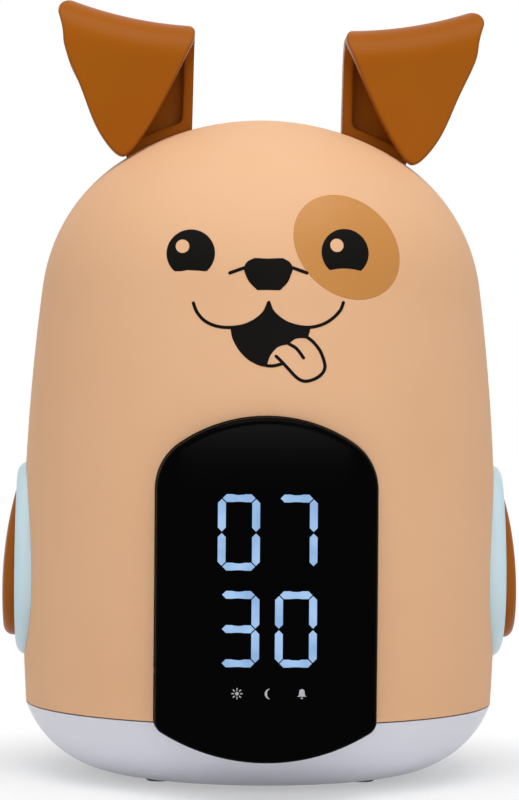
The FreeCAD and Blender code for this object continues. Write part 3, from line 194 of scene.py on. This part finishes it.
# %% Window and printed circuit boards
lens_smoke = moulded("smoked_acrylic", "#020203", "#010102", 0.08, 4.0, 0.0004,
                     {"Specular IOR Level": 0.015}, 0.6)
frame_black = moulded("black_satin_abs", "#0B0B0D", "#09090B", 0.4, 0.5, 0.006)
board_green = moulded("green_solder_mask", "#1E5B36", "#1B5431", 0.35, 0.6, 0.006)
chip_white = moulded("white_lamp_package", "#ECEBDD", "#E6E5D6", 0.45, 0.5, 0.003)
well_white = moulded("white_reflector_wells", "#D9DBDC", "#D2D4D6", 0.5, 0.5, 0.004)
cone_paper = moulded("grey_pressed_paper", "#4A4845", "#42403D", 0.9, 0.25, 0.04)
cell_wrap = moulded("printed_cell_sleeve", "#2F6B4A", "#2C6646", 0.3, 0.8, 0.002)
GLOW_SIZE, GLOW_LOW, GLOW_HIGH = 0.005, 0.3, 0.7
lamp_light, lamp_tree, lamp_shader = new_finish(
    "lit_segment_diffuser",
    {"Base Color": linear("#1C2530"), "Roughness": 0.5, "Specular IOR Level": 0.1,
     "Emission Strength": 0.92})
lamp_place = add_node(lamp_tree, "ShaderNodeTexCoord")
lamp_cloud = add_node(lamp_tree, "ShaderNodeTexNoise", {"Scale": 1 / GLOW_SIZE, "Detail": 1.0},
                      {"Vector": lamp_place.outputs["Object"]})
lamp_glow = add_node(lamp_tree, "ShaderNodeValToRGB", {}, {"Fac": lamp_cloud.outputs["Fac"]})
lamp_glow.color_ramp.elements[0].position = GLOW_LOW
lamp_glow.color_ramp.elements[1].position = GLOW_HIGH
lamp_glow.color_ramp.elements[0].color = linear("#8FB5E2")
lamp_glow.color_ramp.elements[1].color = linear("#AACDF5")
lamp_tree.links.new(lamp_glow.outputs["Color"], lamp_shader.inputs["Emission Color"])
print("window, boards and inner parts", 8)

# %% [markdown]
# Every construction part takes one finish, by the material slot that the record gives it.
# Each line names the slot and the finish side by side.

# %% Finishes on the parts
finish_of_slot = {
    "shell_peach": peach_abs,
    "bowl_white": bowl_abs,
    "cover_white": cover_abs,
    "lens_black": lens_smoke,
    "frame_black": frame_black,
    "wells_white": well_white,
    "digits_lit": lamp_light,
    "board_green": board_green,
    "chips_white": chip_white,
    "chip_black": black_abs,
    "plunger_ivory": switch_ivory,
    "ring_blue": ring_abs,
    "buttons_blue": button_abs,
    "pad_brown": pad_abs,
    "ear_brown": ear_abs,
    "socket_steel": nickel,
    "contacts_steel": nickel,
    "cells": cell_wrap,
    "feet_rubber": foot_rubber,
    "speaker_steel": nickel,
    "speaker_paper": cone_paper,
    "magnet": ferrite,
    "screws_steel": zinc,
}
for entry in frame["record"]["subparts"]:
    part = frame["nodes"][entry["node"]]
    part.data.materials.clear()
    part.data.materials.append(finish_of_slot[entry["material_slot"]])
print("slots finished", len(finish_of_slot))

# %% [markdown]
# The face, the patch and the small marks are pad printed: a film of ink a few hundredths thick.
# To lay a flat drawing on the dome, each point of the drawing is pushed back onto the surface.
# The dome's own arcs are used here, so the ink follows the real curve and not its facets.

# %% Surfaces that carry ink
SEAM = 16.4
SIDE_RADIUS, SIDE_HEIGHT, SIDE_CENTRE = 527.0, SEAM + 31.5, 55.5 - 527.0
SIDE_END, SHOULDER_END, SHOULDER_RADIUS = math.radians(7.19), math.radians(57.64), 41.1
SHOULDER_X = SIDE_CENTRE + (SIDE_RADIUS - SHOULDER_RADIUS) * math.cos(SIDE_END)
SHOULDER_Z = SIDE_HEIGHT + (SIDE_RADIUS - SHOULDER_RADIUS) * math.sin(SIDE_END)
CROWN_RADIUS = SHOULDER_RADIUS + SHOULDER_X / math.cos(SHOULDER_END)
CROWN_Z = SHOULDER_Z - SHOULDER_X * math.tan(SHOULDER_END)
LENS_FRONT, LENS_RADIUS = 57.5, 85.0


def dome_reach(z):
    """The dome's radius in millimetres at height z."""
    if z < SIDE_HEIGHT + SIDE_RADIUS * math.sin(SIDE_END):
        return SIDE_CENTRE + math.sqrt(SIDE_RADIUS ** 2 - (z - SIDE_HEIGHT) ** 2)
    if z < SHOULDER_Z + SHOULDER_RADIUS * math.sin(SHOULDER_END):
        return SHOULDER_X + math.sqrt(SHOULDER_RADIUS ** 2 - (z - SHOULDER_Z) ** 2)
    return math.sqrt(max(0.0, CROWN_RADIUS ** 2 - (z - CROWN_Z) ** 2))


def dome_front(x, z, lift, side=-1):
    """A point in metres on the dome's front, or with side 1 its back, lifted along the normal."""
    reach = dome_reach(z)
    y = side * math.sqrt(reach ** 2 - x ** 2)
    slope = (dome_reach(z + 0.01) - dome_reach(z - 0.01)) / 0.02
    normal = Vector((x, y, -slope * reach)).normalized()
    return (Vector((x, y, z)) + normal * lift) * MM


def dome_back(x, z, lift):
    """The same on the back of the dome."""
    return dome_front(x, z, lift, 1)


def lens_front(x, z, lift):
    """A point in metres on the bowed front of the display window."""
    axis_y = LENS_RADIUS - LENS_FRONT
    y = axis_y - math.sqrt(LENS_RADIUS ** 2 - x ** 2)
    normal = Vector((x, y - axis_y, 0)).normalized()
    return (Vector((x, y, z)) + normal * lift) * MM


print("crown radius", round(CROWN_RADIUS, 2), "front at eye height", round(dome_reach(118.0), 2))

# %% [markdown]
# A drawing is a closed outline of a few points joined by smooth curves, with sharp corners kept.
# A brush line is the same thing: its outline runs along one side, round the tip and back.

# %% Outlines
def smooth(points, steps=8):
    """Points on a smooth open curve through the given points."""
    made = []
    padded = [points[0]] + points + [points[-1]]
    for i in range(1, len(padded) - 2):
        p0, p1, p2, p3 = (Vector(padded[k]) for k in (i - 1, i, i + 1, i + 2))
        for k in range(steps):
            t = k / steps
            made.append(0.5 * (2 * p1 + (p2 - p0) * t + (2 * p0 - 5 * p1 + 4 * p2 - p3) * t ** 2
                               + (3 * p1 - 3 * p2 + p3 - p0) * t ** 3))
    return made + [Vector(points[-1])]


def brush(points, width):
    """The outline of a round-ended line of one width along a smooth curve."""
    path = smooth(points)
    half = width / 2
    ways = [(path[min(i + 1, len(path) - 1)] - path[max(i - 1, 0)]).normalized()
            for i in range(len(path))]
    sides = [Vector((-way.y, way.x)) * half for way in ways]
    right = [p - s for p, s in zip(path, sides)]
    left = [p + s for p, s in zip(path, sides)]

    def tip(centre, start):
        return [centre + Matrix.Rotation(math.pi * k / 6, 2) @ start for k in range(1, 6)]

    return right + tip(path[-1], -sides[-1]) + left[::-1] + tip(path[0], sides[0])


def oval(centre, across, up, turn=0.0, steps=64):
    """An ellipse, turned anticlockwise by an angle in degrees."""
    tilt = Matrix.Rotation(math.radians(turn), 2)
    return [Vector(centre) + tilt @ Vector((across * math.cos(2 * math.pi * k / steps),
                                            up * math.sin(2 * math.pi * k / steps)))
            for k in range(steps)]


# %% [markdown]
# Ink has no thickness that the eye sees, but a real film has an edge, so each print is a thin solid.
# The outline is filled with small triangles so that the film bends with the plastic under it.

# %% Laying ink
def inside(point, outline):
    """Whether a point lies within an outline."""
    hit = False
    for a, b in zip(outline, outline[1:] + outline[:1]):
        if (a.y > point.y) != (b.y > point.y):
            if point.x < a.x + (point.y - a.y) * (b.x - a.x) / (b.y - a.y):
                hit = not hit
    return hit


def lay_ink(name, outline, place, lift, material, cell=1.0, sink=0.04):
    """A thin film of the outline's shape on a surface, from sink below it to lift above it."""
    outline = [Vector(p) for p in outline]
    count = len(outline)
    xs, zs = [p.x for p in outline], [p.y for p in outline]
    inner = []
    for i in range(int((max(xs) - min(xs)) / cell) + 1):
        for k in range(int((max(zs) - min(zs)) / cell) + 1):
            spot = Vector((min(xs) + (i + 0.5) * cell, min(zs) + (k + 0.5) * cell))
            if inside(spot, outline) and min((spot - p).length for p in outline) > 0.4 * cell:
                inner.append(spot)
    spots, _, faces, _, _, _ = delaunay_2d_cdt(
        outline + inner, [], [list(range(count))], 1, 1e-6)
    top = [place(p.x, p.y, lift) for p in spots]
    under = [place(p.x, p.y, -sink) for p in spots]
    ink = bmesh.new()
    made_top = [ink.verts.new(p) for p in top]
    made_under = [ink.verts.new(p) for p in under]
    for face in faces:
        ink.faces.new([made_top[i] for i in face])
        ink.faces.new([made_under[i] for i in reversed(face)])
    rims = [edge for edge in ink.edges if edge.is_boundary and edge.verts[0] in set(made_top)]
    index = {vert: i for i, vert in enumerate(made_top)}
    for edge in rims:
        a, b = (index[vert] for vert in edge.verts)
        ink.faces.new([made_top[a], made_top[b], made_under[b], made_under[a]])
    bmesh.ops.recalc_face_normals(ink, faces=ink.faces)
    mesh = bpy.data.meshes.new(name)
    ink.to_mesh(mesh)
    ink.free()
    mesh.shade_smooth()
    mesh.set_sharp_from_angle(angle=math.radians(40))
    mesh.materials.append(material)
    film = bpy.data.objects.new(name, mesh)
    scene.collection.objects.link(film)
    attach(film, "housing")


ink_black = moulded("black_pad_ink", "#0B0A08", "#090806", 0.5, 0.5, 0.006,
                    {"Specular IOR Level": 0.06})
ink_tan = moulded("tan_pad_ink", "#C98944", "#C68640", 0.45, 0.5, 0.010,
                  {"Specular IOR Level": 0.3})
ink_grey = moulded("pale_grey_pad_ink", "#B9B9BD", "#B5B5B9", 0.5, 0.5, 0.002)
print("inks", 3)

# %% [markdown]
# The face is a cheerful puppy: two round eyes with a flat lower edge, one on a tan patch.
# Each eye keeps a small unprinted dot, which reads as a glint.

# %% Eyes, patch and nose
def cut_circle(centre, radius, floor_height):
    """A circle whose lowest part is cut off level at floor_height."""
    depth = centre[1] - floor_height
    start = -math.asin(depth / radius)
    sweep = math.pi - 2 * start
    return [(centre[0] + radius * math.cos(start + sweep * k / 48),
             centre[1] + radius * math.sin(start + sweep * k / 48)) for k in range(49)]


PATCH_LIFT, FACE_LIFT, GLINT_LIFT = 0.02, 0.05, 0.07
lay_ink("eye_patch", oval((17.4, 121.1), 13.0, 10.6, -42.0), dome_front, PATCH_LIFT, ink_tan)
lay_ink("eye_left", cut_circle((-17.05, 119.3), 5.3, 115.3), dome_front, FACE_LIFT, ink_black)
lay_ink("eye_right", cut_circle((16.9, 119.75), 5.3, 115.8), dome_front, FACE_LIFT, ink_black)
lay_ink("glint_left", oval((-18.84, 120.84), 1.5, 1.5, 0, 24), dome_front, GLINT_LIFT, peach_abs,
        0.6)
lay_ink("glint_right", oval((15.03, 121.29), 1.5, 1.5, 0, 24), dome_front, GLINT_LIFT, peach_abs,
        0.6)
nose_right = smooth([(3.1, 118.23), (4.6, 117.35), (5.25, 116.0), (4.85, 114.6), (4.1, 112.9),
                     (2.45, 111.15)], 6)
nose_left = smooth([(-2.5, 111.15), (-4.2, 112.85), (-5.1, 114.6), (-5.42, 116.0),
                    (-4.75, 117.35), (-3.2, 118.2)], 6)
lay_ink("nose", nose_right + nose_left, dome_front, FACE_LIFT, ink_black, 0.8)
print("eyes, patch and nose laid")

# %% [markdown]
# The smile is two arcs that meet under the nose; the open mouth hangs below them.
# The tongue is not printed: it is bare plastic inside a black line.

# %% Smile and tongue
LINE = 0.72
smile_left = [(-16.4, 108.3), (-15.6, 106.3), (-13.9, 104.4), (-11.4, 103.25), (-8.4, 102.95),
              (-5.4, 103.4), (-2.95, 104.55), (-1.0, 106.3), (0.0, 108.5)]
smile_right = [(0.0, 108.5), (1.0, 106.3), (3.5, 104.3), (6.3, 103.35), (9.1, 103.15),
               (11.9, 103.85), (14.15, 105.25), (15.8, 107.05), (16.45, 108.7)]
strokes = {
    "cheek_left": [(-8.5, 114.9), (-5.3, 116.05)],
    "cheek_right": [(5.2, 116.15), (8.35, 115.05)],
    "smile_left": smile_left,
    "smile_right": smile_right,
    "lip": [(-0.3, 94.65), (1.1, 94.65), (2.9, 95.1)],
    "tongue_edge": [(8.5, 100.9), (9.9, 99.8), (11.4, 97.8), (12.3, 95.3), (12.2, 93.8),
                    (11.15, 92.5), (9.4, 91.6), (7.65, 91.4), (6.1, 92.2), (4.4, 93.95),
                    (2.85, 95.6), (1.65, 96.75)],
    "tongue_fold": [(4.45, 99.45), (6.1, 98.45), (7.65, 96.45)]}
for stroke_name, path_points in strokes.items():
    lay_ink(stroke_name, brush(path_points, LINE), dome_front, FACE_LIFT, ink_black, 0.7)
mouth = (smooth(smile_left[4:], 6) + smooth(smile_right[:5], 6)[1:]
         + smooth([(9.05, 102.3), (8.65, 101.0)], 3)
         + smooth([(8.5, 100.65), (7.2, 100.75), (5.85, 100.55), (4.75, 99.75)], 4)
         + smooth([(4.5, 99.4), (3.8, 99.25), (2.8, 99.05), (1.6, 98.4), (0.35, 96.8),
                   (-0.25, 95.0)], 4)
         + smooth([(-0.3, 94.35), (-2.1, 94.7), (-4.4, 95.9), (-6.4, 97.9), (-7.8, 100.4),
                   (-8.3, 102.6)], 6))
lay_ink("open_mouth", mouth, dome_front, FACE_LIFT - 0.01, ink_black, 0.8)
print("mouth and tongue laid", len(strokes) + 1)

# %% [markdown]
# Behind the window each digit is seven bars of light, with pointed ends and a dark gap between.
# The same bars are drawn just on the window's face, because the smoked plastic itself is opaque here.
# Two rows of two digits show the hour over the minutes.

# %% Lit digits
DIGIT_WIDTH, DIGIT_HEIGHT, BAR = 9.1, 16.5, 1.7
BAR_GAP = 0.35
DIGIT_MIDDLE, DIGIT_PITCH, ROW_PITCH = SEAM + 31.7, 12.5, 20.9
BARS_OF = {"0": "abcdef", "3": "abcdg", "7": "abc"}
dx, dz = (DIGIT_WIDTH - BAR) / 2, (DIGIT_HEIGHT - BAR) / 4
BAR_PLACES = {"a": (0, 2 * dz, 0), "g": (0, 0, 0), "d": (0, -2 * dz, 0), "b": (dx, dz, 1),
              "c": (dx, -dz, 1), "e": (-dx, -dz, 1), "f": (-dx, dz, 1)}


def bar_outline(centre, upright):
    """A six-sided bar, across or upright."""
    length = 2 * dz - BAR_GAP if upright else DIGIT_WIDTH - BAR - BAR_GAP
    half, w = length / 2, BAR / 2
    corners = [(-half, 0), (-half + w, -w), (half - w, -w), (half, 0), (half - w, w),
               (-half + w, w)]
    if upright:
        corners = [(-v, u) for u, v in corners]
    return [(centre[0] + u, centre[1] + v) for u, v in corners]


for spot, (x, z), number in (("hour_tens", (-1, 1), "0"), ("hour_ones", (1, 1), "7"),
                             ("minute_tens", (-1, -1), "3"), ("minute_ones", (1, -1), "0")):
    for letter in BARS_OF[number]:
        u, v, upright = BAR_PLACES[letter]
        middle = (x * DIGIT_PITCH / 2 + u, DIGIT_MIDDLE + z * ROW_PITCH / 2 + v)
        lay_ink(spot + "_bar_" + letter, bar_outline(middle, upright), lens_front, 0.03,
                lamp_light, 0.7)
print("digits lit", "07 over 30")

# %% [markdown]
# Three small marks stand under the digits: day, night and alarm.
# They are drawn as a sun, a moon and a bell, so that nothing has to be read.

# %% Marks under the digits
MARK_HEIGHT = 23.7


def sun(x, z, size, name, place, material):
    """A disc with eight short rays."""
    lay_ink(name + "_disc", oval((x, z), 0.32 * size, 0.32 * size, 0, 24), place, 0.03, material,
            0.3)
    for k in range(8):
        way = Vector((math.cos(math.pi * k / 4), math.sin(math.pi * k / 4)))
        ray = [Vector((x, z)) + way * (0.62 * size), Vector((x, z)) + way * (0.95 * size)]
        lay_ink(name + "_ray_%d" % k, brush([tuple(p) for p in ray], 0.2 * size), place, 0.03,
                material, 0.3)


def moon(x, z, size, name, place, material):
    """A crescent: a half circle closed by a flatter arc."""
    outer = [(x + 0.15 * size - 0.95 * size * math.sin(t), z + 0.95 * size * math.cos(t))
             for t in [math.pi * k / 20 for k in range(21)]]
    inner = smooth([outer[-1], (x - 0.28 * size, z - 0.5 * size), (x - 0.36 * size, z),
                    (x - 0.28 * size, z + 0.5 * size), outer[0]], 5)
    lay_ink(name, outer + inner[1:-1], place, 0.03, material, 0.3)


def bell(x, z, size, name, place, material):
    """A bell with a flared rim and a clapper below."""
    half = [(0.0, 0.9), (0.42, 0.66), (0.52, 0.1), (0.62, -0.32), (0.86, -0.52)]
    right = [(x + u * size, z + v * size) for u, v in half]
    left = [(x - u * size, z + v * size) for u, v in reversed(half[1:])]
    lay_ink(name, smooth(right, 5) + smooth(left, 5), place, 0.03, material, 0.3)
    lay_ink(name + "_clapper", oval((x, z - 0.8 * size), 0.2 * size, 0.14 * size, 0, 16), place,
            0.03, material, 0.2)


sun(-6.4, MARK_HEIGHT, 1.2, "mark_day", lens_front, ink_grey)
moon(0.55, MARK_HEIGHT, 1.2, "mark_night", lens_front, ink_grey)
bell(7.65, MARK_HEIGHT, 1.2, "mark_alarm", lens_front, ink_grey)
print("marks under the digits", 3)

# %% [markdown]
# On the back each push button needs a mark that a child's parent can read at a glance.
# Plus and minus set the time; bell, sun and moon choose what they set.

# %% Marks by the rear buttons
REAR_PITCH, UPPER_ROW, LOWER_ROW, ABOVE = 11.0, SEAM + 32.5, SEAM + 22.0, 5.6
ink_slate = moulded("slate_pad_ink", "#5D646B", "#596067", 0.5, 0.5, 0.004)
sun(-REAR_PITCH, UPPER_ROW + ABOVE, 1.3, "rear_day", dome_back, ink_slate)
bell(0, UPPER_ROW + ABOVE, 1.3, "rear_alarm", dome_back, ink_slate)
moon(REAR_PITCH, UPPER_ROW + ABOVE, 1.3, "rear_night", dome_back, ink_slate)
for mark_name, x, arms in (("rear_plus", 0.65 * REAR_PITCH, 2), ("rear_minus", -0.65 * REAR_PITCH, 1)):
    z = LOWER_ROW - ABOVE
    lay_ink(mark_name + "_bar", brush([(x - 1.1, z), (x + 1.1, z)], 0.5), dome_back, 0.03,
            ink_slate, 0.4)
    if arms == 2:
        for end in (1.1, -1.1):
            lay_ink(mark_name + ("_up" if end > 0 else "_down"),
                    brush([(x, z + 0.3 * end), (x, z + end)], 0.5), dome_back, 0.03,
                    ink_slate, 0.4)
print("rear marks", 5)

# %% [markdown]
# A catalogue photograph: the object on a white sweep under one large soft light.
# A weaker light stands ahead and to the right.
# The floor turns to plain white away from the object, and a white veil keeps the shadow faint.
# A thin strip light is placed where the top of the window mirrors it as a dim crescent.

# %% Stage and light
def area_light(name, place, target, width, height, watts):
    """A rectangular soft light at place, aimed at target."""
    data = bpy.data.lights.new(name, "AREA")
    data.shape = "RECTANGLE"
    data.size = width
    data.size_y = height
    data.energy = watts
    lamp = bpy.data.objects.new(name, data)
    lamp.location = place
    aim = Vector(target) - Vector(place)
    lamp.rotation_euler = aim.to_track_quat("-Z", "Y").to_euler()
    scene.collection.objects.link(lamp)


def seen_directly(tree):
    """One for rays from the eye, a mirror or through glass, and zero for rays that light things."""
    ray = add_node(tree, "ShaderNodeLightPath")
    total = ray.outputs["Is Camera Ray"]
    for kind in ("Is Glossy Ray", "Is Transmission Ray"):
        step = add_node(tree, "ShaderNodeMath", {"operation": "ADD", "use_clamp": True})
        tree.links.new(total, step.inputs[0])
        tree.links.new(ray.outputs[kind], step.inputs[1])
        total = step.outputs["Value"]
    return total


floor_mesh = bpy.data.meshes.new("floor")
FLOOR_HALF = 3.0
floor_mesh.from_pydata(
    [(-FLOOR_HALF, -FLOOR_HALF, 0), (FLOOR_HALF, -FLOOR_HALF, 0),
     (FLOOR_HALF, FLOOR_HALF, 0), (-FLOOR_HALF, FLOOR_HALF, 0)], [], [(0, 1, 2, 3)])
floor = bpy.data.objects.new("floor", floor_mesh)
scene.collection.objects.link(floor)
floor_finish, tree, shader = new_finish(
    "white_paper_sweep", {"Base Color": linear("#F6F6F6"), "Roughness": 0.9})
SHADOW_EDGE, SHADOW_END, SHADOW_VEIL = 0.048, 0.105, 0.42
place = add_node(tree, "ShaderNodeTexCoord")
away = add_node(tree, "ShaderNodeVectorMath", {"operation": "LENGTH"},
                {"Vector": place.outputs["Object"]})
fade = add_node(tree, "ShaderNodeMapRange",
                {"From Min": SHADOW_EDGE, "From Max": SHADOW_END, "To Min": SHADOW_VEIL,
                 "interpolation_type": "SMOOTHSTEP"},
                {"Value": away.outputs["Value"]})
white = add_node(tree, "ShaderNodeEmission", {"Color": linear("#FFFFFF"), "Strength": 1.0})
lit = add_node(tree, "ShaderNodeMath", {"operation": "MULTIPLY"})
tree.links.new(fade.outputs["Result"], lit.inputs[0])
tree.links.new(seen_directly(tree), lit.inputs[1])
sweep = add_node(tree, "ShaderNodeMixShader", {}, {"Fac": lit.outputs["Value"]})
tree.links.new(shader.outputs["BSDF"], sweep.inputs[1])
tree.links.new(white.outputs["Emission"], sweep.inputs[2])
tree.links.new(sweep.outputs["Shader"], tree.nodes["Material Output"].inputs["Surface"])
floor_mesh.materials.append(floor_finish)

world = bpy.data.worlds.new("studio")
scene.world = world
world.use_nodes = True
world.node_tree.nodes.clear()
room = add_node(world.node_tree, "ShaderNodeBackground", {"Color": linear("#E4E6EA"), "Strength": 0.5})
backdrop = add_node(world.node_tree, "ShaderNodeBackground", {"Color": linear("#FFFFFF"), "Strength": 1.0})
seen = add_node(world.node_tree, "ShaderNodeMixShader", {},
                {"Fac": seen_directly(world.node_tree)})
world.node_tree.links.new(room.outputs["Background"], seen.inputs[1])
world.node_tree.links.new(backdrop.outputs["Background"], seen.inputs[2])
add_node(world.node_tree, "ShaderNodeOutputWorld", {}, {"Surface": seen.outputs["Shader"]})
AIM = (0, 0, 0.09)
area_light("overhead", (0, -0.35, 0.95), AIM, 0.9, 0.6, 6.3)
area_light("front_fill", (0.5, -1.4, 0.45), AIM, 0.7, 0.7, 1.25)
STRIP_PLACE, STRIP_WIDTH, STRIP_HEIGHT = (0.04, -1.38, 0.0713), 1.35, 0.018
area_light("lens_strip", STRIP_PLACE, (STRIP_PLACE[0], 0, STRIP_PLACE[2]), STRIP_WIDTH,
           STRIP_HEIGHT, 0.85)
scene.view_settings.view_transform = "Standard"
print("stage and lights", 4)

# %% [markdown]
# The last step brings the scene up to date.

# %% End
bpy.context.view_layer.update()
